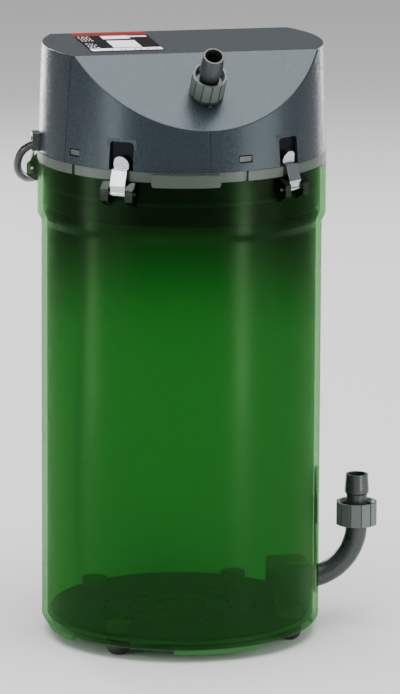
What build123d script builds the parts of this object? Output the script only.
"""External canister filter: a translucent green canister with a clipped-on pump head.

Millimetres. +Z is up. The origin is on the canister's axis, at the height of the feet's flats.
-Y is the front: the head's sloped outlet face looks that way. +X is the inlet elbow's side.
Angles round the canister are in degrees from the front, positive towards +X.
"""
import os
from math import cos, hypot, pi, radians, sin, sqrt, tan

from build123d import *

os.makedirs("parts", exist_ok=True)

# ---- driving dimensions -------------------------------------------------------------------
BODY_R = 100.0            # outside of the canister's straight wall
WALL = 4.0                # wall of the canister
COLLAR_R = 102.7          # outside of the wider collar round the canister's mouth
COLLAR_BORE_R = 98.7      # inside of the collar, where the head's seal runs
SKIRT_Z = 8.6             # lower edge of the canister's wall above the floor
UNDERSIDE_Z = 10.5        # underside of the canister's bottom
BOTTOM_Z = 13.5           # inside of the canister's bottom
STEP_LOW_Z = 302.4        # the wall widens into the collar from here
STEP_HIGH_Z = 308.0       # to here
RIM_Z = 346.5             # canister's rim, on which the head's flange sits
SEAM_Z = 353.5            # flange's top, on which the head's cover sits
TOP_Z = 428.8             # flat top of the cover
FLANGE_R = 102.8
COVER_LOW_R = 102.5       # cover's outside at the seam
COVER_TOP_R = 100.2       # cover's outside at the top
COVER_TOP_XY = (1.5, 5.5) # the top's circle sits a little behind the seam's
COVER_WALL = 2.6
FRONT_CHORD_Y = -43.5     # front edge of the flat top
BACK_CHORD_Y = 54.7       # back edge of the flat top
SLOPE = 39.6              # degrees from horizontal, of the cover's front and back faces

FOOT_R = 83.8             # radius of the circle the feet stand on
FOOT_ANGLES = (-43, 58, 141, -143)
CLIP_ANGLES = (-36, 36, 108, 180, -108)
SNAP_ANGLES = (-59, 14.6, 85, 157, -131)
PARTING_ANGLES = (-65, 0, 65)       # fine lines down the front of the cover
GLAND_ANGLE = -94

PLENUM_PLATE_Z = 15.0     # underside of the lower strainer
STRAINER_T = 2.0
STRAINER_R = 93.5

INLET_Z = 33.0            # height of the inlet's axis where it passes the wall
ELBOW_R = 38.0            # bend radius of the inlet elbow
ELBOW_START_X = 92.5      # where the bend starts
RISER_X = ELBOW_START_X + ELBOW_R   # axis of the elbow's upright end
ELBOW_TOP_Z = INLET_Z + ELBOW_R
TUBE_R = 7.9              # outside of the elbow
TUBE_BORE_R = 6.2
FIT = 0.05                # radial clearance of a part that turns on another

OUTLET_FOOT = (2.8, -72.0)    # where the outlet's axis leaves the sloped face, in X and Y
AXLE_R = 106.0            # radius at which the clips' axles lie
AXLE_Z = 338.0
CLIP_WIDTH = 11.5

CORD_D = 5.8              # round mains cord


# ---- helpers ------------------------------------------------------------------------------
def around(angle, radius=0.0, z=0.0):
    """A point at an angle from the front, towards +X."""
    a = radians(angle)
    return (radius * sin(a), -radius * cos(a), z)


def side_plane(angle):
    """The upright plane through the canister's axis: x is outwards, y is up."""
    a = radians(angle)
    return Plane(origin=(0, 0, 0), x_dir=(sin(a), -cos(a), 0), z_dir=(-cos(a), -sin(a), 0))


def face_plane(angle, radius):
    """An upright plane facing outwards at a radius: x is round the canister, y is up."""
    a = radians(angle)
    return Plane(
        origin=around(angle, radius), x_dir=(cos(a), sin(a), 0), z_dir=(sin(a), -cos(a), 0)
    )


def sector(angle_from, angle_to, reach):
    """Corners of a wedge from the axis outwards, in the XY plane."""
    middle = (angle_from + angle_to) / 2
    far = reach / cos(radians((angle_to - angle_from) / 2))
    corners = [(0, 0)]
    for angle in (angle_from, middle, angle_to):
        corners.append(around(angle, far)[:2])
    return corners


def save(builder, name):
    builder.part.label = name
    export_step(builder.part, f"parts/{name}.step")


# ---- canister -----------------------------------------------------------------------------
INNER_R = BODY_R - WALL
SKIRT_R = 96.2            # outside of the wall at its lower edge
SKIRT_INNER_R = 92.5
POST_R = 9.0              # sockets of the feet
POST_TOP_Z = 23.0
FOOT_STEM_R = 6.0
SKIRT_SECTOR_Z = 5.5      # lower edge of the four deeper stretches of the skirt
SKIRT_SECTOR_MID = 5.3
SKIRT_SECTOR_SPAN = 38.6
PORT_R = 9.6              # hole in the wall for the inlet's grommet
PORT_Z = INLET_Z + 0.4
GROOVE_ANGLE = 70.6       # upright groove in the wall, in front of the inlet
GROOVE_WIDTH = 9.0
GROOVE_FLOOR_R = 97.4
GROOVE_LOW_Z = 30.0
GROOVE_HIGH_Z = 124.0

with BuildPart() as canister:
    with BuildSketch(Plane.XZ) as wall_profile:
        with BuildLine():
            Polyline(
                (0, BOTTOM_Z), (INNER_R, BOTTOM_Z), (INNER_R, STEP_LOW_Z + 0.6),
                (COLLAR_BORE_R, STEP_HIGH_Z + 1), (COLLAR_BORE_R, RIM_Z), (COLLAR_R, RIM_Z),
                (COLLAR_R, STEP_HIGH_Z), (BODY_R, STEP_LOW_Z), (BODY_R, SKIRT_Z + 7),
            )
            ThreePointArc(
                (BODY_R, SKIRT_Z + 7), (SKIRT_R + 2.75, SKIRT_Z + 2.1), (SKIRT_R, SKIRT_Z)
            )
            Polyline(
                (SKIRT_R, SKIRT_Z), (SKIRT_INNER_R, SKIRT_Z), (SKIRT_INNER_R, UNDERSIDE_Z),
                (0, UNDERSIDE_Z), (0, BOTTOM_Z),
            )
        make_face()
    revolve(axis=Axis.Z)
    # deeper stretches of the skirt between the feet
    for quarter in range(4):
        middle = SKIRT_SECTOR_MID + 90 * quarter
        with BuildSketch(Plane.XY.offset(SKIRT_SECTOR_Z)):
            Circle(SKIRT_R - 0.3)
            Circle(SKIRT_INNER_R, mode=Mode.SUBTRACT)
            with BuildLine():
                half_span = SKIRT_SECTOR_SPAN / 2
                Polyline(*sector(middle - half_span, middle + half_span, 110), close=True)
            make_face(mode=Mode.INTERSECT)
        extrude(amount=SKIRT_Z + 0.5 - SKIRT_SECTOR_Z)
    # sockets for the feet
    for angle in FOOT_ANGLES:
        with BuildSketch(Plane(origin=around(angle, FOOT_R, BOTTOM_Z - 0.5))):
            Circle(POST_R)
        extrude(amount=POST_TOP_Z - BOTTOM_Z + 0.5)
        with BuildSketch(Plane(origin=around(angle, FOOT_R, UNDERSIDE_Z - 1))):
            Circle(FOOT_STEM_R)
        extrude(amount=POST_TOP_Z - 2 - UNDERSIDE_Z + 1, mode=Mode.SUBTRACT)
    # port for the inlet elbow
    with BuildSketch(Plane(origin=(BODY_R - 10, 0, PORT_Z), x_dir=(0, 1, 0), z_dir=(1, 0, 0))):
        Circle(PORT_R)
    extrude(amount=20, mode=Mode.SUBTRACT)
    # groove for the inlet's lock bar
    with BuildSketch(face_plane(GROOVE_ANGLE, GROOVE_FLOOR_R)):
        with Locations((0, (GROOVE_LOW_Z + GROOVE_HIGH_Z) / 2)):
            SlotOverall(GROOVE_HIGH_Z - GROOVE_LOW_Z, GROOVE_WIDTH, rotation=90)
    extrude(amount=10, mode=Mode.SUBTRACT)
save(canister, "canister")

# ---- feet: soft black domes pushed into the sockets -------------------------------------------
FOOT_DOME_R = 8.5
FOOT_FLAT_R = 3.5
with BuildPart() as rubber_feet:
    for angle in FOOT_ANGLES:
        centre = around(angle, FOOT_R)
        with BuildSketch(Plane(origin=centre, x_dir=(1, 0, 0), z_dir=(0, -1, 0))):
            with BuildLine():
                Line((0, 0), (FOOT_FLAT_R, 0))
                ThreePointArc((FOOT_FLAT_R, 0), (6.9, 1.9), (FOOT_DOME_R, 6.0))
                Polyline(
                    (FOOT_DOME_R, 6.0), (FOOT_DOME_R, UNDERSIDE_Z), (FOOT_STEM_R, UNDERSIDE_Z),
                    (FOOT_STEM_R, POST_TOP_Z - 3), (0, POST_TOP_Z - 3), (0, 0),
                )
            make_face()
        revolve(axis=Axis(centre, (0, 0, 1)))
save(rubber_feet, "rubber_feet")

# ---- lower strainer: slotted plate that holds the media off the bottom -----------------------
STRAINER_LEGS = 8
CHAMBER_HALF_WIDTH = 17.0
CHAMBER_INNER_X = 66.0
with BuildPart() as lower_strainer:
    with BuildSketch(Plane.XY.offset(PLENUM_PLATE_Z)):
        Circle(STRAINER_R)
        for angle in FOOT_ANGLES:
            with Locations(around(angle, FOOT_R)[:2]):
                Circle(POST_R + 0.6, mode=Mode.SUBTRACT)
        with Locations((CHAMBER_INNER_X + 17, 0)):
            Rectangle(22, 2 * CHAMBER_HALF_WIDTH - 8, mode=Mode.SUBTRACT)
        for ring, count in ((18, 8), (36, 14), (54, 20)):
            with PolarLocations(ring, count):
                SlotOverall(12, 3, rotation=90, mode=Mode.SUBTRACT)
    extrude(amount=STRAINER_T)
    with BuildSketch(Plane.XY.offset(BOTTOM_Z)):
        with PolarLocations(45, STRAINER_LEGS, start_angle=22.5):
            Circle(3)
    extrude(amount=PLENUM_PLATE_Z - BOTTOM_Z)
save(lower_strainer, "lower_strainer")

# ---- inlet chamber: moulded box that turns the incoming water down under the strainer --------
CHAMBER_TOP_Z = 47.0
CHAMBER_WALL = 2.2
CHAMBER_FLOOR_Z = PLENUM_PLATE_Z + STRAINER_T
with BuildPart() as inlet_chamber:
    with BuildSketch(Plane.XY.offset(CHAMBER_FLOOR_Z)):
        with Locations(((CHAMBER_INNER_X + 100) / 2, 0)):
            RectangleRounded(100 - CHAMBER_INNER_X, 2 * CHAMBER_HALF_WIDTH, 4)
        with Locations((110, 0)):
            Rectangle(30, 60, mode=Mode.SUBTRACT)
    extrude(amount=CHAMBER_TOP_Z - CHAMBER_FLOOR_Z)
    fillet(inlet_chamber.edges().group_by(Axis.Z)[-1], radius=3)
    with BuildSketch(Plane.XY.offset(CHAMBER_FLOOR_Z)):
        with Locations(((CHAMBER_INNER_X + CHAMBER_WALL + 110) / 2, 0)):
            Rectangle(
                110 - CHAMBER_INNER_X - CHAMBER_WALL, 2 * (CHAMBER_HALF_WIDTH - CHAMBER_WALL)
            )
    extrude(amount=CHAMBER_TOP_Z - CHAMBER_WALL - CHAMBER_FLOOR_Z, mode=Mode.SUBTRACT)
    with BuildSketch(Plane.XY.offset(CHAMBER_FLOOR_Z - 1)):
        Circle(130)
        Circle(INNER_R - 0.1, mode=Mode.SUBTRACT)
    extrude(amount=60, mode=Mode.SUBTRACT)
save(inlet_chamber, "inlet_chamber")

# ---- inlet elbow with its hose tail -----------------------------------------------------------
ELBOW_INNER_X = 84.0      # inner end, inside the chamber
COLLAR_THREAD_R = 12.5    # threaded collar that the nut turns on
COLLAR_LOW_Z = 73.5
COLLAR_HIGH_Z = 84.0
INLET_NECK_R = 7.65
INLET_LAND_R = 8.85       # widest land of the tail, which holds the hose
INLET_LAND_LOW_Z = 95.2
INLET_LAND_HIGH_Z = 97.8
INLET_TIP_R = 8.05
INLET_TIP_Z = 108.8



def elbow_route(end_z):
    """The elbow's centre line, from inside the chamber up to a height, in the active BuildLine."""
    half_turn = radians(45)
    middle = (
        ELBOW_START_X + ELBOW_R * sin(half_turn), 0, ELBOW_TOP_Z - ELBOW_R * cos(half_turn)
    )
    Line((ELBOW_INNER_X, 0, INLET_Z), (ELBOW_START_X, 0, INLET_Z))
    ThreePointArc((ELBOW_START_X, 0, INLET_Z), middle, (RISER_X, 0, ELBOW_TOP_Z))
    Line((RISER_X, 0, ELBOW_TOP_Z), (RISER_X, 0, end_z))


ELBOW_INNER_END = Plane(origin=(ELBOW_INNER_X, 0, INLET_Z), z_dir=(1, 0, 0))
RISER_PLANE = Plane(origin=(RISER_X, 0, 0), x_dir=(1, 0, 0), z_dir=(0, -1, 0))
RISER_AXIS = Axis((RISER_X, 0, 0), (0, 0, 1))

with BuildPart() as inlet_elbow:
    with BuildLine():
        elbow_route(COLLAR_HIGH_Z)
    with BuildSketch(ELBOW_INNER_END):
        Circle(TUBE_R)
    sweep()
    with BuildSketch(RISER_PLANE):
        with BuildLine():
            Polyline(
                (0, COLLAR_LOW_Z), (COLLAR_THREAD_R - 0.8, COLLAR_LOW_Z),
                (COLLAR_THREAD_R, COLLAR_LOW_Z + 0.8), (COLLAR_THREAD_R, COLLAR_HIGH_Z),
                (INLET_NECK_R, COLLAR_HIGH_Z), (INLET_NECK_R, INLET_LAND_LOW_Z - 1.2),
                (INLET_LAND_R, INLET_LAND_LOW_Z), (INLET_LAND_R, INLET_LAND_HIGH_Z),
                (INLET_TIP_R, INLET_TIP_Z), (0, INLET_TIP_Z), (0, COLLAR_LOW_Z),
            )
        make_face()
    revolve(axis=RISER_AXIS)
    with BuildLine():
        elbow_route(INLET_TIP_Z)
    with BuildSketch(ELBOW_INNER_END):
        Circle(TUBE_BORE_R)
    sweep(mode=Mode.SUBTRACT)
save(inlet_elbow, "inlet_elbow")

# ---- grommet that seals the elbow in the wall -------------------------------------------------
GROMMET_LIP_R = 11.0
GROMMET_PLANE = Plane(origin=(0, 0, PORT_Z), x_dir=(0, 1, 0), z_dir=(1, 0, 0))
with BuildPart() as inlet_grommet:
    with BuildSketch(GROMMET_PLANE.offset(92.5)):
        Circle(GROMMET_LIP_R)
    extrude(amount=2)
    with BuildSketch(GROMMET_PLANE.offset(94)):
        Circle(PORT_R - FIT)
    extrude(amount=4.8)
    with BuildLine():
        elbow_route(COLLAR_LOW_Z)
    with BuildSketch(ELBOW_INNER_END):
        Circle(TUBE_R)
    sweep(mode=Mode.SUBTRACT)
save(inlet_grommet, "inlet_grommet")

# ---- lock bar in the upright groove beside the elbow -------------------------------------------
BAR_WIDTH = 5.0
BAR_BLOCK_LOW_Z = 82.0
BAR_BLOCK_HIGH_Z = 104.0
with BuildPart() as inlet_lock_bar:
    with BuildSketch(face_plane(GROOVE_ANGLE, GROOVE_FLOOR_R)):
        with Locations((0, (GROOVE_LOW_Z + GROOVE_HIGH_Z) / 2)):
            SlotOverall(GROOVE_HIGH_Z - GROOVE_LOW_Z - 3, BAR_WIDTH, rotation=90)
    extrude(amount=1.2)
    with BuildSketch(face_plane(GROOVE_ANGLE, GROOVE_FLOOR_R)):
        with Locations((0, (BAR_BLOCK_LOW_Z + BAR_BLOCK_HIGH_Z) / 2)):
            RectangleRounded(GROOVE_WIDTH - 1, BAR_BLOCK_HIGH_Z - BAR_BLOCK_LOW_Z, 2)
    extrude(amount=2.6)
save(inlet_lock_bar, "inlet_lock_bar")


# ---- union nuts that clamp the hoses on their tails --------------------------------------------
def ribbed_outline(outer_r, flats, groove):
    """A nut's outline with flats and a groove at each corner, in the active BuildSketch."""
    RegularPolygon(outer_r, flats)
    with PolarLocations(outer_r, flats):
        Rectangle(2 * groove, groove, mode=Mode.SUBTRACT)


INLET_NUT_R = 15.1
INLET_NUT_LOW_Z = 71.6
INLET_NUT_HIGH_Z = 88.3
NUT_RIM_R = 13.1
NUT_LIP_R = 11.4          # narrowest part, which squeezes the hose
NUT_FLATS = 12
NUT_GROOVE = 0.9
with BuildPart() as inlet_nut:
    with BuildSketch(Plane(origin=(RISER_X, 0, INLET_NUT_LOW_Z))):
        ribbed_outline(INLET_NUT_R, NUT_FLATS, NUT_GROOVE)
    extrude(amount=INLET_NUT_HIGH_Z - INLET_NUT_LOW_Z)
    with BuildSketch(RISER_PLANE):
        with BuildLine():
            Polyline(
                (0, INLET_NUT_LOW_Z - 1), (COLLAR_THREAD_R + FIT, INLET_NUT_LOW_Z - 1),
                (COLLAR_THREAD_R + FIT, COLLAR_HIGH_Z + 0.6), (NUT_LIP_R, COLLAR_HIGH_Z + 1.3),
                (NUT_LIP_R, COLLAR_HIGH_Z + 2.0), (NUT_RIM_R, INLET_NUT_HIGH_Z),
                (NUT_RIM_R, INLET_NUT_HIGH_Z + 1), (0, INLET_NUT_HIGH_Z + 1),
                (0, INLET_NUT_LOW_Z - 1),
            )
        make_face()
    revolve(axis=RISER_AXIS, mode=Mode.SUBTRACT)
save(inlet_nut, "inlet_nut")

# ---- clips: hinged steel straps that hold the head down ----------------------------------------
AXLE_PIN_R = 1.0
BRACKET_GAP = 6.4         # from the clip's middle to a bracket's near side
BRACKET_WIDTH = 6.0
KNUCKLE_R = 1.9
STRAP_T = 0.9
TONGUE_Z = AXLE_Z + 20.0  # middle of the round that ends a clip's finger tongue

with BuildPart() as clip_brackets:
    for angle in CLIP_ANGLES:
        for side in (-1, 1):
            middle = side * (BRACKET_GAP + BRACKET_WIDTH / 2)
            with BuildSketch(side_plane(angle).offset(middle)):
                with BuildLine():
                    Polyline(
                        (101, 346), (104.2, 346), (109.8, 341.2), (109.8, 333), (106.5, 331),
                        (101, 328), close=True,
                    )
                make_face()
                with Locations((AXLE_R, AXLE_Z)):
                    Circle(AXLE_PIN_R, mode=Mode.SUBTRACT)
            extrude(amount=BRACKET_WIDTH / 2, both=True)
    with BuildSketch(Plane.XY.offset(320)):
        Circle(COLLAR_R)
    extrude(amount=30, mode=Mode.SUBTRACT)
save(clip_brackets, "clip_brackets")

with BuildPart() as clip_axles:
    for angle in CLIP_ANGLES:
        with BuildSketch(side_plane(angle)):
            with Locations((AXLE_R, AXLE_Z)):
                Circle(AXLE_PIN_R)
        extrude(amount=BRACKET_GAP + BRACKET_WIDTH, both=True)
save(clip_axles, "clip_axles")

for number, angle in enumerate(CLIP_ANGLES, start=1):
    with BuildPart() as clip:
        with BuildSketch(side_plane(angle)):
            with BuildLine():
                FilletPolyline(
                    (AXLE_R + 1.2, AXLE_Z + 0.6), (AXLE_R + 1.6, AXLE_Z + 5.5),
                    (AXLE_R - 1.8, AXLE_Z + 16.3), (100.9, AXLE_Z + 16.9),
                    (101.3, AXLE_Z + 21.3), (103.0, AXLE_Z + 25.9), radius=0.7,
                )
            trace(line_width=STRAP_T)
            with Locations((AXLE_R, AXLE_Z)):
                Circle(KNUCKLE_R)
                Circle(AXLE_PIN_R + FIT, mode=Mode.SUBTRACT)
        extrude(amount=CLIP_WIDTH / 2, both=True)
        # the finger lip is rounded when seen from outside
        with BuildSketch(face_plane(angle, 95)):
            with Locations((0, TONGUE_Z + CLIP_WIDTH / 2)):
                Rectangle(CLIP_WIDTH + 2, CLIP_WIDTH)
            with Locations((0, TONGUE_Z)):
                Circle(CLIP_WIDTH / 2 - 0.05, mode=Mode.SUBTRACT)
        extrude(amount=20, mode=Mode.SUBTRACT)
    save(clip, f"clip_{number}")

# ---- head base: flange on the canister's rim, housing below it, pump chamber and rotor can ----
HOUSING_R = 98.2
HOUSING_INNER_R = 91.5
HOUSING_LOW_Z = 314.0
FLOOR_T = 4.0
SEAL_LOW_Z = 328.0        # groove of the main seal
SEAL_GROOVE = 3.7
SEAL_GROOVE_R = 94.7
VOLUTE_R = 30.0
VOLUTE_WALL = 3.0
VOLUTE_ROOF_Z = 330.0
CAN_BORE_R = 12.8
CAN_WALL = 2.0
CAN_TOP_Z = 372.0
BUSH_R = 5.0
BUSH_SEAT_Z = 368.8
RISER_Y = -58.0           # upright stretch of the outlet tube
DUCT_HALF_WIDTH = 6.0
DUCT_END_Y = -66.0
SOCKET_R = 12.0
SPIGOT_R = 8.4
STATOR_POSTS = ((-26, -14), (26, -14), (-26, 60), (26, 60))
POST_HEIGHT_Z = 340.0
SCREW_R = 2.0
COVER_SCREW_R = 1.5
COVER_SCREW_CIRCLE = 36.5
TAB_SPAN = (-23.0, 3.5)   # raised lip at the front of the flange
TAB_R = 106.0
NOTCH_WIDTH = 3.0
CLIP_CHANNEL = CLIP_WIDTH + 1.5
CLIP_CHANNEL_R = 99.2     # the clips' tongues stand in channels of the flange this deep
SNAP_WIDTH = 9.2
RIB_COUNT = 9
RIB_HEIGHT = 18.0
RISER_XY = (OUTLET_FOOT[0], RISER_Y)
DUCT_START_Y = -24.0
SOCKET_TOP_Z = 346.0
SOCKET_GROOVE_R = 10.4
SOCKET_GROOVE_Z = 343.0
CHAMBER_ROOF_Z = VOLUTE_ROOF_Z + VOLUTE_WALL
HOUSING_FLOOR_Z = HOUSING_LOW_Z + FLOOR_T
PUMP_SCREWS = PolarLocations(COVER_SCREW_CIRCLE, 4, start_angle=45)


def ring_sector(inner_r, outer_r, angle_from, angle_to):
    """Part of a ring round the canister's axis, in the active BuildSketch."""
    Circle(outer_r)
    Circle(inner_r, mode=Mode.SUBTRACT)
    Polygon(*sector(angle_from, angle_to, 1.2 * outer_r), align=None, mode=Mode.INTERSECT)


with BuildPart() as head_base:
    with BuildSketch(Plane.XZ):
        with BuildLine():
            Polyline(
                (0, HOUSING_LOW_Z), (HOUSING_R - 1.5, HOUSING_LOW_Z),
                (HOUSING_R, HOUSING_LOW_Z + 1.5), (HOUSING_R, SEAL_LOW_Z),
                (SEAL_GROOVE_R, SEAL_LOW_Z), (SEAL_GROOVE_R, SEAL_LOW_Z + SEAL_GROOVE),
                (HOUSING_R, SEAL_LOW_Z + SEAL_GROOVE), (HOUSING_R, RIM_Z), (FLANGE_R, RIM_Z),
                (FLANGE_R, SEAM_Z), (HOUSING_INNER_R, SEAM_Z), (HOUSING_INNER_R, HOUSING_FLOOR_Z),
                (VOLUTE_R + VOLUTE_WALL, HOUSING_FLOOR_Z),
                (VOLUTE_R + VOLUTE_WALL, CHAMBER_ROOF_Z), (CAN_BORE_R + CAN_WALL, CHAMBER_ROOF_Z),
                (CAN_BORE_R + CAN_WALL, CAN_TOP_Z + CAN_WALL), (0, CAN_TOP_Z + CAN_WALL),
                close=True,
            )
        make_face()
    revolve(axis=Axis.Z)
    # stiffening ribs from the pump chamber to the wall
    for rib in range(RIB_COUNT):
        with BuildSketch(side_plane(20 + 360 / RIB_COUNT * rib)):
            with Locations(((VOLUTE_R + HOUSING_INNER_R) / 2 + 1, HOUSING_LOW_Z + 10.5)):
                Rectangle(HOUSING_INNER_R - VOLUTE_R, RIB_HEIGHT)
        extrude(amount=1, both=True)
    # duct from the pump chamber to the outlet tube's socket
    with BuildSketch(Plane.XY.offset(HOUSING_LOW_Z)):
        with Locations((RISER_XY[0], (DUCT_START_Y + DUCT_END_Y) / 2 - VOLUTE_WALL)):
            Rectangle(2 * (DUCT_HALF_WIDTH + VOLUTE_WALL), DUCT_START_Y - DUCT_END_Y)
    extrude(amount=CHAMBER_ROOF_Z - HOUSING_LOW_Z)
    with BuildSketch(Plane.XY.offset(VOLUTE_ROOF_Z)):
        with Locations(RISER_XY):
            Circle(SOCKET_R)
    extrude(amount=SOCKET_TOP_Z - VOLUTE_ROOF_Z)
    # posts for the stator's screws, and bosses for the pump cover's
    with BuildSketch(Plane.XY.offset(HOUSING_LOW_Z + 1)):
        with Locations(*STATOR_POSTS):
            Circle(4)
    extrude(amount=POST_HEIGHT_Z - HOUSING_LOW_Z - 1)
    with BuildSketch(Plane.XY.offset(HOUSING_LOW_Z)):
        with PUMP_SCREWS:
            Circle(4)
    extrude(amount=12)
    # raised lip at the front of the flange
    with BuildSketch(Plane.XY.offset(RIM_Z)):
        ring_sector(102, TAB_R, *TAB_SPAN)
    extrude(amount=5.5)
    with BuildSketch(Plane.XY.offset(RIM_Z - 3)):
        ring_sector(COLLAR_R + 0.4, TAB_R, *TAB_SPAN)
    extrude(amount=3)
    fillet(
        head_base.edges().filter_by(
            lambda edge: abs(edge.center().Z - RIM_Z + 3) < 0.01 and edge.length < TAB_R - COLLAR_R
        ),
        radius=2,
    )
    # snaps that hold the cover, with a nose behind each of its windows
    for angle in SNAP_ANGLES:
        with BuildSketch(face_plane(angle, 96.8)):
            with Locations((0, SEAM_Z + 5)):
                Rectangle(SNAP_WIDTH, 10.6)
        extrude(amount=2.5)
        with BuildSketch(face_plane(angle, 99)):
            with Locations((0, SEAM_Z + 8.4)):
                Rectangle(SNAP_WIDTH, 3.8)
        extrude(amount=2.2)
    # pump chamber, duct and the can that the rotor turns in
    with BuildSketch(Plane.XY.offset(HOUSING_LOW_Z)):
        Circle(VOLUTE_R)
        with Locations((RISER_XY[0], (DUCT_START_Y + DUCT_END_Y) / 2)):
            Rectangle(2 * DUCT_HALF_WIDTH, DUCT_START_Y - DUCT_END_Y)
    extrude(amount=VOLUTE_ROOF_Z - HOUSING_LOW_Z, mode=Mode.SUBTRACT)
    with BuildSketch(Plane.XY.offset(VOLUTE_ROOF_Z - 1)):
        Circle(CAN_BORE_R)
    extrude(amount=BUSH_SEAT_Z - VOLUTE_ROOF_Z + 1, mode=Mode.SUBTRACT)
    with BuildSketch(Plane.XY.offset(BUSH_SEAT_Z - 1)):
        Circle(BUSH_R)
    extrude(amount=CAN_TOP_Z - BUSH_SEAT_Z + 1, mode=Mode.SUBTRACT)
    # outlet tube's socket: through hole, seat and groove for its seal
    for radius, from_z in ((6.2, VOLUTE_ROOF_Z - 1), (SPIGOT_R + FIT, CHAMBER_ROOF_Z),
                           (SOCKET_GROOVE_R, SOCKET_GROOVE_Z)):
        with BuildSketch(Plane.XY.offset(from_z)):
            with Locations(RISER_XY):
                Circle(radius)
        extrude(amount=SOCKET_TOP_Z + 1 - from_z, mode=Mode.SUBTRACT)
    # screw holes
    with BuildSketch(Plane.XY.offset(POST_HEIGHT_Z - 12)):
        with Locations(*STATOR_POSTS):
            Circle(SCREW_R + FIT)
    extrude(amount=14, mode=Mode.SUBTRACT)
    with BuildSketch(Plane.XY.offset(HOUSING_LOW_Z - 1)):
        with PUMP_SCREWS:
            Circle(COVER_SCREW_R + FIT)
    extrude(amount=11, mode=Mode.SUBTRACT)
    # notches and clip channels in the flange
    for angle in SNAP_ANGLES:
        with BuildSketch(face_plane(angle, FLANGE_R - 1.6)):
            with Locations((0, SEAM_Z - 3)):
                Rectangle(NOTCH_WIDTH, 9)
        extrude(amount=6, mode=Mode.SUBTRACT)
    for angle in CLIP_ANGLES:
        with BuildSketch(face_plane(angle, CLIP_CHANNEL_R)):
            with Locations((0, SEAM_Z - 3)):
                Rectangle(CLIP_CHANNEL, 9)
        extrude(amount=6, mode=Mode.SUBTRACT)
save(head_base, "head_base")

# ---- head cover: dark shell over the motor, with a flat top between two sloped faces -----------
POCKET_WIDTH = 18.5
POCKET_TOP_Z = 373.5
POCKET_R = 98.4
WINDOW_SIZE = (10.2, 5.4)
GLAND_HOLE = (9.0, 10.0)
GLAND_Z = 358.0
PARTING_DEPTH = 0.35
PARTING_WIDTH = 0.6
slope_out = Vector(0, -sin(radians(SLOPE)), cos(radians(SLOPE)))
OUTLET_BASE = Vector(
    *OUTLET_FOOT, TOP_Z - (FRONT_CHORD_Y - OUTLET_FOOT[1]) * tan(radians(SLOPE))
)
OUTLET_PLANE = Plane(origin=OUTLET_BASE, x_dir=(1, 0, 0), z_dir=slope_out)


def head_form(inset):
    """The cover's outline as a solid, shrunk by an inset: a leaning cone cut by the two slopes."""
    with BuildPart() as form:
        with BuildSketch(Plane.XY.offset(SEAM_Z)):
            Circle(COVER_LOW_R - inset)
        with BuildSketch(Plane.XY.offset(TOP_Z - inset)):
            with Locations(COVER_TOP_XY):
                Circle(COVER_TOP_R - inset)
        loft(ruled=True)
        for chord_y, way in ((FRONT_CHORD_Y, -1), (BACK_CHORD_Y, 1)):
            normal = Vector(0, way * sin(radians(SLOPE)), cos(radians(SLOPE)))
            origin = Vector(0, chord_y, TOP_Z) - normal * inset
            split(bisect_by=Plane(origin=origin, z_dir=normal), keep=Keep.BOTTOM)
    return form.part


def top_radius(angle):
    """How far the edge of the cover's top is from the canister's axis at an angle."""
    x, y, _ = around(angle, 1)
    along = COVER_TOP_XY[0] * x + COVER_TOP_XY[1] * y
    return along + sqrt(COVER_TOP_R**2 - hypot(*COVER_TOP_XY) ** 2 + along**2)


with BuildPart() as head_cover:
    add(head_form(0))
    fillet(head_cover.edges().filter_by(lambda edge: edge.center().Z > SEAM_Z + 1), radius=1.2)
    add(head_form(COVER_WALL), mode=Mode.SUBTRACT)
    for angle in CLIP_ANGLES:
        with BuildSketch(face_plane(angle, POCKET_R - 2)):
            with Locations((0, (SEAM_Z + POCKET_TOP_Z + 2) / 2)):
                Rectangle(POCKET_WIDTH + 4, POCKET_TOP_Z + 2 - SEAM_Z)
        extrude(amount=4)
        with BuildSketch(face_plane(angle, POCKET_R)):
            with Locations((0, (SEAM_Z - 6 + POCKET_TOP_Z) / 2)):
                RectangleRounded(POCKET_WIDTH, POCKET_TOP_Z - SEAM_Z + 6, 2.5)
        extrude(amount=8, mode=Mode.SUBTRACT)
    for angle in SNAP_ANGLES:
        with BuildSketch(face_plane(angle, 97)):
            with Locations((0, SEAM_Z + 8.4)):
                Rectangle(*WINDOW_SIZE)
        extrude(amount=8, mode=Mode.SUBTRACT)
    with BuildSketch(face_plane(GLAND_ANGLE, 95)):
        with Locations((0, GLAND_Z + 1.5)):
            Rectangle(*GLAND_HOLE)
    extrude(amount=12, mode=Mode.SUBTRACT)
    with BuildSketch(OUTLET_PLANE.offset(-6)):
        Circle(SPIGOT_R + 0.2)
    extrude(amount=8, mode=Mode.SUBTRACT)
    for angle in PARTING_ANGLES:
        low_r, top_r = COVER_LOW_R - PARTING_DEPTH, top_radius(angle) - PARTING_DEPTH
        with BuildSketch(side_plane(angle)):
            Polygon(
                (low_r, SEAM_Z - 1), (low_r + 3, SEAM_Z - 1), (top_r + 3, TOP_Z - 1.2),
                (top_r, TOP_Z - 1.2), align=None,
            )
        extrude(amount=PARTING_WIDTH / 2, both=True, mode=Mode.SUBTRACT)
save(head_cover, "head_cover")

# ---- rating label on the flat top ---------------------------------------------------------------
with BuildPart() as rating_label:
    with BuildSketch(Plane.XY.offset(TOP_Z)):
        with Locations((-44.75, 4)):
            RectangleRounded(52.5, 66, 1)
    extrude(amount=0.3)
save(rating_label, "rating_label")

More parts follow.
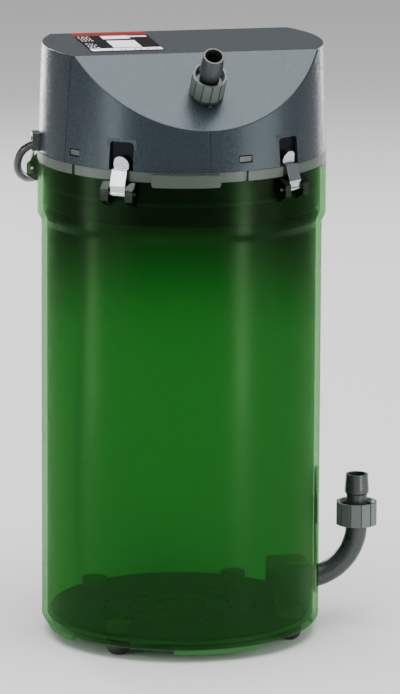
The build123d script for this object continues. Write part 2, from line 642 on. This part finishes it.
# ---- main seal in the head's groove ---------------------------------------------------------------
SEAL_WIRE_R = 1.8
with BuildPart() as head_seal:
    with BuildSketch(Plane.XZ):
        with Locations((SEAL_GROOVE_R + SEAL_WIRE_R, SEAL_LOW_Z + SEAL_GROOVE / 2)):
            Circle(SEAL_WIRE_R)
    revolve(axis=Axis.Z)
save(head_seal, "head_seal")

# ---- outlet tube, with its flange, threaded collar and hose tail ---------------------------------
OUTLET_COLLAR_R = 10.5
OUTLET_BORE_R = 6.0
OUTLET_TIP = 38.3         # length of the tail's tip from the sloped face
OUTLET_LAND_R = 8.1
OUTLET_COLLAR_HIGH = 13.5


def outlet_point(height):
    """A point on the outlet's axis at a height above the sloped face."""
    return OUTLET_BASE + slope_out * height


OUTLET_BEND = outlet_point((OUTLET_FOOT[1] - RISER_Y) / sin(radians(SLOPE)))
RISER_FOOT = Vector(*RISER_XY, CHAMBER_ROOF_Z)


OUTLET_SECTION = Plane(
    origin=OUTLET_BASE, x_dir=(1, 0, 0), z_dir=Vector(1, 0, 0).cross(slope_out)
)
OUTLET_AXIS = Axis(OUTLET_BASE, slope_out)

with BuildPart() as outlet_tube:
    with BuildLine():
        FilletPolyline(outlet_point(0.5), OUTLET_BEND, RISER_FOOT, radius=20)
    with BuildSketch(Plane(origin=outlet_point(0.5), z_dir=slope_out)):
        Circle(SPIGOT_R)
    sweep()
    with BuildSketch(OUTLET_SECTION):
        Polygon(
            (0, 0), (12.2, 0), (12.2, 1.8), (OUTLET_COLLAR_R, 2.4),
            (OUTLET_COLLAR_R, OUTLET_COLLAR_HIGH), (6.9, OUTLET_COLLAR_HIGH), (6.9, 21.5),
            (OUTLET_LAND_R, 23), (OUTLET_LAND_R, 25.5), (7.3, OUTLET_TIP), (0, OUTLET_TIP),
            align=None,
        )
    revolve(axis=OUTLET_AXIS)
    # locating lug on the flange's lower edge
    with BuildSketch(OUTLET_PLANE):
        with Locations((0, -13)):
            Rectangle(3, 4)
    extrude(amount=1.8)
    with BuildLine():
        FilletPolyline(outlet_point(OUTLET_TIP), OUTLET_BEND, RISER_FOOT, radius=20)
    with BuildSketch(Plane(origin=outlet_point(OUTLET_TIP), z_dir=slope_out)):
        Circle(OUTLET_BORE_R)
    sweep(mode=Mode.SUBTRACT)
save(outlet_tube, "outlet_tube")

with BuildPart() as outlet_seal:
    with BuildSketch(Plane(origin=(*RISER_XY, 0), x_dir=(1, 0, 0), z_dir=(0, -1, 0))):
        with Locations(((SPIGOT_R + SOCKET_GROOVE_R) / 2 + FIT, SOCKET_GROOVE_Z + 1.2)):
            Circle(0.9)
    revolve(axis=Axis((*RISER_XY, 0), (0, 0, 1)))
save(outlet_seal, "outlet_seal")

OUTLET_NUT_R = 12.6
OUTLET_NUT_LOW = 2.5
OUTLET_NUT_HIGH = 18.7
with BuildPart() as outlet_nut:
    with BuildSketch(OUTLET_PLANE.offset(OUTLET_NUT_LOW)):
        ribbed_outline(OUTLET_NUT_R, NUT_FLATS, NUT_GROOVE)
    extrude(amount=OUTLET_NUT_HIGH - OUTLET_NUT_LOW)
    with BuildSketch(OUTLET_SECTION):
        Polygon(
            (0, 0), (OUTLET_COLLAR_R + FIT, 0), (OUTLET_COLLAR_R + FIT, OUTLET_COLLAR_HIGH + 0.6),
            (9.4, OUTLET_COLLAR_HIGH + 1.2), (9.4, OUTLET_COLLAR_HIGH + 2), (10.4, OUTLET_NUT_HIGH),
            (10.4, OUTLET_NUT_HIGH + 1), (0, OUTLET_NUT_HIGH + 1), align=None,
        )
    revolve(axis=OUTLET_AXIS, mode=Mode.SUBTRACT)
save(outlet_nut, "outlet_nut")

# ---- motor: laminated core round the can, two coils on bobbins, four screws --------------------
CORE_LOW_Z = POST_HEIGHT_Z
CORE_T = 22.0
CORE_HALF_WIDTH = 31.0
LEG_INNER_X = 17.0
CORE_FRONT_Y = -20.0
WINDOW_Y = (20.0, 52.0)
CORE_BACK_Y = 66.0
BOBBIN_T = 0.8
COIL_T = 5.2
leg_x = (LEG_INNER_X + CORE_HALF_WIDTH) / 2
leg_width = CORE_HALF_WIDTH - LEG_INNER_X
leg_mid_y = sum(WINDOW_Y) / 2
LEG_PLANE = Plane(
    origin=(0, leg_mid_y, CORE_LOW_Z + CORE_T / 2), x_dir=(1, 0, 0), z_dir=(0, -1, 0)
)

with BuildPart() as stator_core:
    with BuildSketch(Plane.XY.offset(CORE_LOW_Z)):
        with Locations((0, (CORE_FRONT_Y + CORE_BACK_Y) / 2)):
            Rectangle(2 * CORE_HALF_WIDTH, CORE_BACK_Y - CORE_FRONT_Y)
        with Locations((0, leg_mid_y)):
            Rectangle(2 * LEG_INNER_X, WINDOW_Y[1] - WINDOW_Y[0], mode=Mode.SUBTRACT)
        Circle(CAN_BORE_R + CAN_WALL + 0.4, mode=Mode.SUBTRACT)
        Rectangle(5, 60, mode=Mode.SUBTRACT)
        with Locations(*STATOR_POSTS):
            Circle(SCREW_R + FIT, mode=Mode.SUBTRACT)
    extrude(amount=CORE_T)
save(stator_core, "stator_core")

with BuildPart() as coil_bobbins:
    for side in (-1, 1):
        with BuildSketch(LEG_PLANE):
            with Locations((side * leg_x, 0)):
                Rectangle(leg_width + 2 * BOBBIN_T, CORE_T + 2 * BOBBIN_T)
                Rectangle(leg_width, CORE_T, mode=Mode.SUBTRACT)
        extrude(amount=14, both=True)
        for end in (-14, 12.6):
            with BuildSketch(LEG_PLANE.offset(end)):
                with Locations((side * leg_x, 0)):
                    Rectangle(leg_width + 2 * COIL_T + 1, CORE_T + 2 * COIL_T + 1)
                    Rectangle(leg_width, CORE_T, mode=Mode.SUBTRACT)
            extrude(amount=1.4)
save(coil_bobbins, "coil_bobbins")

with BuildPart() as stator_coils:
    for side in (-1, 1):
        with BuildSketch(LEG_PLANE):
            with Locations((side * leg_x, 0)):
                RectangleRounded(leg_width + 2 * COIL_T, CORE_T + 2 * COIL_T, 3)
                Rectangle(leg_width + 2 * BOBBIN_T, CORE_T + 2 * BOBBIN_T, mode=Mode.SUBTRACT)
        extrude(amount=12.6, both=True)
save(stator_coils, "stator_coils")

with BuildPart() as stator_screws:
    with BuildSketch(Plane.XY.offset(CORE_LOW_Z - 10)):
        with Locations(*STATOR_POSTS):
            Circle(SCREW_R)
    extrude(amount=CORE_T + 10)
    with BuildSketch(Plane.XY.offset(CORE_LOW_Z + CORE_T)):
        with Locations(*STATOR_POSTS):
            Circle(3.6)
    extrude(amount=2.6)
save(stator_screws, "stator_screws")

# ---- pump cover: closes the pump chamber and its duct from below -------------------------------
PUMP_COVER_T = 3.5
PUMP_COVER_LOW_Z = HOUSING_LOW_Z - PUMP_COVER_T
INTAKE_R = 12.0
SPOKES = 6
BUSH_HOUSING_R = 5.5
LOWER_BUSH_R = 3.6
SHAFT_R = 1.5
with BuildPart() as pump_cover:
    with BuildSketch(Plane.XY.offset(PUMP_COVER_LOW_Z)):
        Circle(VOLUTE_R + 11)
        with Locations((RISER_XY[0], (DUCT_END_Y - VOLUTE_WALL - VOLUTE_R) / 2)):
            Rectangle(2 * (DUCT_HALF_WIDTH + VOLUTE_WALL), VOLUTE_WALL + VOLUTE_R + 6)
        Circle(INTAKE_R, mode=Mode.SUBTRACT)
        Circle(BUSH_HOUSING_R)
        with PolarLocations((INTAKE_R + BUSH_HOUSING_R) / 2, SPOKES):
            Rectangle(INTAKE_R - BUSH_HOUSING_R + 2, 1.6)
        Circle(LOWER_BUSH_R, mode=Mode.SUBTRACT)
        with PUMP_SCREWS:
            Circle(COVER_SCREW_R + FIT, mode=Mode.SUBTRACT)
    extrude(amount=PUMP_COVER_T)
save(pump_cover, "pump_cover")

with BuildPart() as pump_cover_screws:
    with BuildSketch(Plane.XY.offset(PUMP_COVER_LOW_Z - 1.8)):
        with PUMP_SCREWS:
            Circle(2.8)
    extrude(amount=1.8)
    with BuildSketch(Plane.XY.offset(PUMP_COVER_LOW_Z)):
        with PUMP_SCREWS:
            Circle(COVER_SCREW_R)
    extrude(amount=12)
save(pump_cover_screws, "pump_cover_screws")

# ---- rotor: six-bladed impeller on a magnet, running on a fixed ceramic shaft ------------------
SHAFT_LOW_Z = PUMP_COVER_LOW_Z + 0.6
SHAFT_HIGH_Z = CAN_TOP_Z - 0.4
ROTOR_LOW_Z = HOUSING_LOW_Z + 1.4
ROTOR_HIGH_Z = BUSH_SEAT_Z - 0.6
BLADE_R = 24.0
BLADE_HIGH_Z = 326.0
SLEEVE_R = 4.0
MAGNET_R = 12.0
MAGNET_LOW_Z = 334.5

with BuildPart() as pump_shaft:
    with BuildSketch(Plane.XY.offset(SHAFT_LOW_Z)):
        Circle(SHAFT_R)
    extrude(amount=SHAFT_HIGH_Z - SHAFT_LOW_Z)
save(pump_shaft, "pump_shaft")

with BuildPart() as shaft_bushes:
    for radius, low_z, high_z in ((LOWER_BUSH_R, PUMP_COVER_LOW_Z, HOUSING_LOW_Z + 0.6),
                                  (BUSH_R, BUSH_SEAT_Z, CAN_TOP_Z)):
        with BuildSketch(Plane.XY.offset(low_z)):
            Circle(radius)
        extrude(amount=high_z - low_z)
    with BuildSketch(Plane.XY.offset(SHAFT_LOW_Z)):
        Circle(SHAFT_R)
    extrude(amount=SHAFT_HIGH_Z - SHAFT_LOW_Z, mode=Mode.SUBTRACT)
save(shaft_bushes, "shaft_bushes")

with BuildPart() as impeller:
    with BuildSketch(Plane.XY.offset(ROTOR_LOW_Z + 0.4)):
        Circle(SLEEVE_R + 2)
        with PolarLocations((BLADE_R + SLEEVE_R) / 2, SPOKES):
            Rectangle(BLADE_R - SLEEVE_R, 2)
    extrude(amount=BLADE_HIGH_Z - ROTOR_LOW_Z - 0.4)
    with BuildSketch(Plane.XY.offset(BLADE_HIGH_Z)):
        Circle(BLADE_R)
    extrude(amount=1.6)
    with BuildSketch(Plane.XY.offset(ROTOR_LOW_Z)):
        Circle(SLEEVE_R)
    extrude(amount=ROTOR_HIGH_Z - ROTOR_LOW_Z)
    with BuildSketch(Plane.XY.offset(BLADE_HIGH_Z)):
        Circle(SLEEVE_R + 3)
    extrude(amount=MAGNET_LOW_Z - BLADE_HIGH_Z)
    with BuildSketch(Plane.XY.offset(ROTOR_LOW_Z - 1)):
        Circle(SHAFT_R + FIT)
    extrude(amount=ROTOR_HIGH_Z - ROTOR_LOW_Z + 2, mode=Mode.SUBTRACT)
save(impeller, "impeller")

with BuildPart() as rotor_magnet:
    with BuildSketch(Plane.XY.offset(MAGNET_LOW_Z)):
        Circle(MAGNET_R)
        Circle(SLEEVE_R, mode=Mode.SUBTRACT)
    extrude(amount=ROTOR_HIGH_Z - 0.8 - MAGNET_LOW_Z)
save(rotor_magnet, "rotor_magnet")

# ---- cable gland on the cover's left side ---------------------------------------------------------
GLAND_BASE_R = 101.6
GLAND_OUT_R = 107.5
CORD_EXIT_R = 105.2       # bottom of the gland's recess, where the cord comes out
with BuildPart() as cable_gland:
    with BuildSketch(face_plane(GLAND_ANGLE, GLAND_BASE_R)):
        with Locations((0, SEAM_Z + 6.8)):
            RectangleRounded(11, 13.4, 1.5)
    extrude(amount=GLAND_OUT_R - GLAND_BASE_R)
    with BuildSketch(Plane.XY.offset(SEAM_Z)):
        Circle(COVER_LOW_R + 0.05)
    extrude(amount=30, taper=1.75, mode=Mode.SUBTRACT)
    with BuildSketch(face_plane(GLAND_ANGLE, 96)):
        with Locations((0, GLAND_Z + 1.5)):
            Rectangle(GLAND_HOLE[0] - 0.2, GLAND_HOLE[1] - 0.2)
    extrude(amount=8)
    with BuildSketch(face_plane(GLAND_ANGLE, CORD_EXIT_R)):
        with Locations((0, GLAND_Z + 1)):
            RectangleRounded(8, 9.4, 1.5)
    extrude(amount=6, mode=Mode.SUBTRACT)
save(cable_gland, "cable_gland")

# ---- mains cord: a free lead down the canister's back, the rest wound in a coil -------------------
LEAD_ROUTE = (
    (-104.95, 7.34, 358.0), (-110.8, 10.8, 355.8), (-114.9, 20.3, 346.5), (-112.8, 35.2, 333.3),
    (-103.0, 52.6, 324.3), (-91.9, 71.8, 322.2), (-84.4, 91.0, 325.2), (-77.8, 103.8, 324.2),
    (-72.6, 113.4, 318.0), (-69.0, 119.9, 307.6), (-67.0, 122.6, 291.5), (-66.0, 120.0, 265.0),
    (-65.6, 110.5, 220.0), (-67.6, 100.6, 168.0), (-68.7, 99.2, 116.0), (-69.8, 105.6, 78.0),
    (-71.2, 113.6, 52.0), (-70.2, 119.6, 34.0), (-65.4, 123.2, 20.8), (-55.6, 124.4, 11.2),
    (-42.6, 122.0, 6.2), (-28.6, 117.0, 3.2), (-14.9, 111.7, 2.9),
)
COIL_CENTRE = (-2.1, 144.7)
COIL_COLUMNS = 2          # turns beside each other
COIL_LAYERS = 3           # turns on each other
COIL_OUT_R = 38.3
COIL_IN_R = COIL_OUT_R - COIL_COLUMNS * CORD_D
COIL_HEIGHT = COIL_LAYERS * CORD_D
TIE_T = 1.0
TIE_SPAN = 12.0           # degrees of the coil that the tie covers


def corner_radii(route):
    """The largest arc for each corner of a cord's route that leaves a tenth of each run straight."""
    points = [Vector(*point) for point in route]
    radii = []
    for before, corner, after in zip(points, points[1:], points[2:]):
        run_in = corner - before
        run_out = after - corner
        half_turn = radians(run_in.get_angle(run_out) / 2)
        radii.append(0.45 * min(run_in.length, run_out.length) / tan(half_turn))
    return radii


lead_radii = corner_radii(LEAD_ROUTE)
print("cord radii in diameters:", [round(radius / CORD_D, 1) for radius in lead_radii])
with BuildPart() as cord_lead:
    with BuildLine() as lead_path:
        FilletPolyline(*LEAD_ROUTE, radius=lead_radii)
    with BuildSketch(Plane(origin=lead_path.line @ 0, z_dir=lead_path.line % 0)):
        Circle(CORD_D / 2)
    sweep()
save(cord_lead, "cord_lead")
lead_length = sum(edge.length for edge in lead_path.edges())
lead_volume = pi * (CORD_D / 2) ** 2 * lead_length
print("free lead's length:", lead_length, "volume ratio:", cord_lead.part.volume / lead_volume)

coil_plane = Plane(origin=(*COIL_CENTRE, 0), x_dir=(1, 0, 0), z_dir=(0, -1, 0))
coil_axis = Axis((*COIL_CENTRE, 0), (0, 0, 1))
coil_middle = ((COIL_IN_R + COIL_OUT_R) / 2, COIL_HEIGHT / 2)
with BuildPart() as cord_tie:
    with BuildSketch(coil_plane):
        with Locations((coil_middle[0], (COIL_HEIGHT + TIE_T) / 2)):
            Rectangle(COIL_OUT_R - COIL_IN_R + 2 * TIE_T, COIL_HEIGHT + TIE_T)
        with Locations((coil_middle[0], (COIL_HEIGHT + TIE_T) / 2)):
            Rectangle(COIL_OUT_R - COIL_IN_R, COIL_HEIGHT - TIE_T, mode=Mode.SUBTRACT)
    revolve(axis=coil_axis, revolution_arc=TIE_SPAN)
save(cord_tie, "cord_tie")

with BuildPart() as cord_coil:
    with BuildSketch(coil_plane):
        with Locations(coil_middle):
            Rectangle(COIL_OUT_R - COIL_IN_R, COIL_HEIGHT)
    revolve(axis=coil_axis)
    add(cord_tie.part, mode=Mode.SUBTRACT)
save(cord_coil, "cord_coil")

# ---- plug: flat moulded body with a tapered boot and two round pins ---------------------------------
PLUG_ANGLE = -75.0        # direction from the coil's centre in which the cord's end leaves the turns
PLUG_WIDTH = 35.0
PLUG_T = 13.6
BOOT_START = 13.5         # distances along the plug's axis from where the cord leaves the turns
BODY_START = 36.0
BODY_END = 72.0
PINS_END = 91.0
PIN_R = 2.0
PIN_SPACING = 18.6
PIN_HOLE_DEPTH = 10.0
TURN_R = COIL_OUT_R - CORD_D / 2
plug_side = (cos(radians(PLUG_ANGLE)), sin(radians(PLUG_ANGLE)))
plug_direction = (-plug_side[1], plug_side[0], 0)
leave_point = (
    COIL_CENTRE[0] + TURN_R * plug_side[0], COIL_CENTRE[1] + TURN_R * plug_side[1], PLUG_T / 2
)


def plug_plane(distance):
    """A plane across the plug's axis: x is the plug's width, y is up."""
    origin = Vector(*leave_point) + distance * Vector(*plug_direction)
    return Plane(origin=origin, x_dir=(*plug_side, 0), z_dir=plug_direction)


with BuildPart() as plug_body:
    with BuildSketch(plug_plane(BODY_START)):
        RectangleRounded(PLUG_WIDTH - 12, PLUG_T, 4)
    with BuildSketch(plug_plane(BODY_START + 14)):
        RectangleRounded(PLUG_WIDTH, PLUG_T, 4)
    loft()
    with BuildSketch(plug_plane(BODY_START + 14)):
        RectangleRounded(PLUG_WIDTH, PLUG_T, 4)
    extrude(amount=BODY_END - BODY_START - 14)
    with BuildSketch(plug_plane(BOOT_START)):
        Circle(CORD_D / 2 + 0.8)
    with BuildSketch(plug_plane(BODY_START)):
        Circle(CORD_D / 2 + 2.6)
    loft()
    with BuildSketch(plug_plane(BODY_END)):
        with GridLocations(PIN_SPACING, 1, 2, 1):
            Circle(PIN_R)
    extrude(amount=-PIN_HOLE_DEPTH, mode=Mode.SUBTRACT)
save(plug_body, "plug_body")

with BuildPart() as plug_pins:
    with BuildSketch(plug_plane(BODY_END - PIN_HOLE_DEPTH)):
        with GridLocations(PIN_SPACING, 1, 2, 1):
            Circle(PIN_R)
    extrude(amount=PINS_END - BODY_END + PIN_HOLE_DEPTH)
    pin_rims = plug_pins.edges().filter_by(GeomType.CIRCLE)
    fillet(pin_rims.sort_by(Axis(leave_point, plug_direction))[-2:], radius=1)
save(plug_pins, "plug_pins")
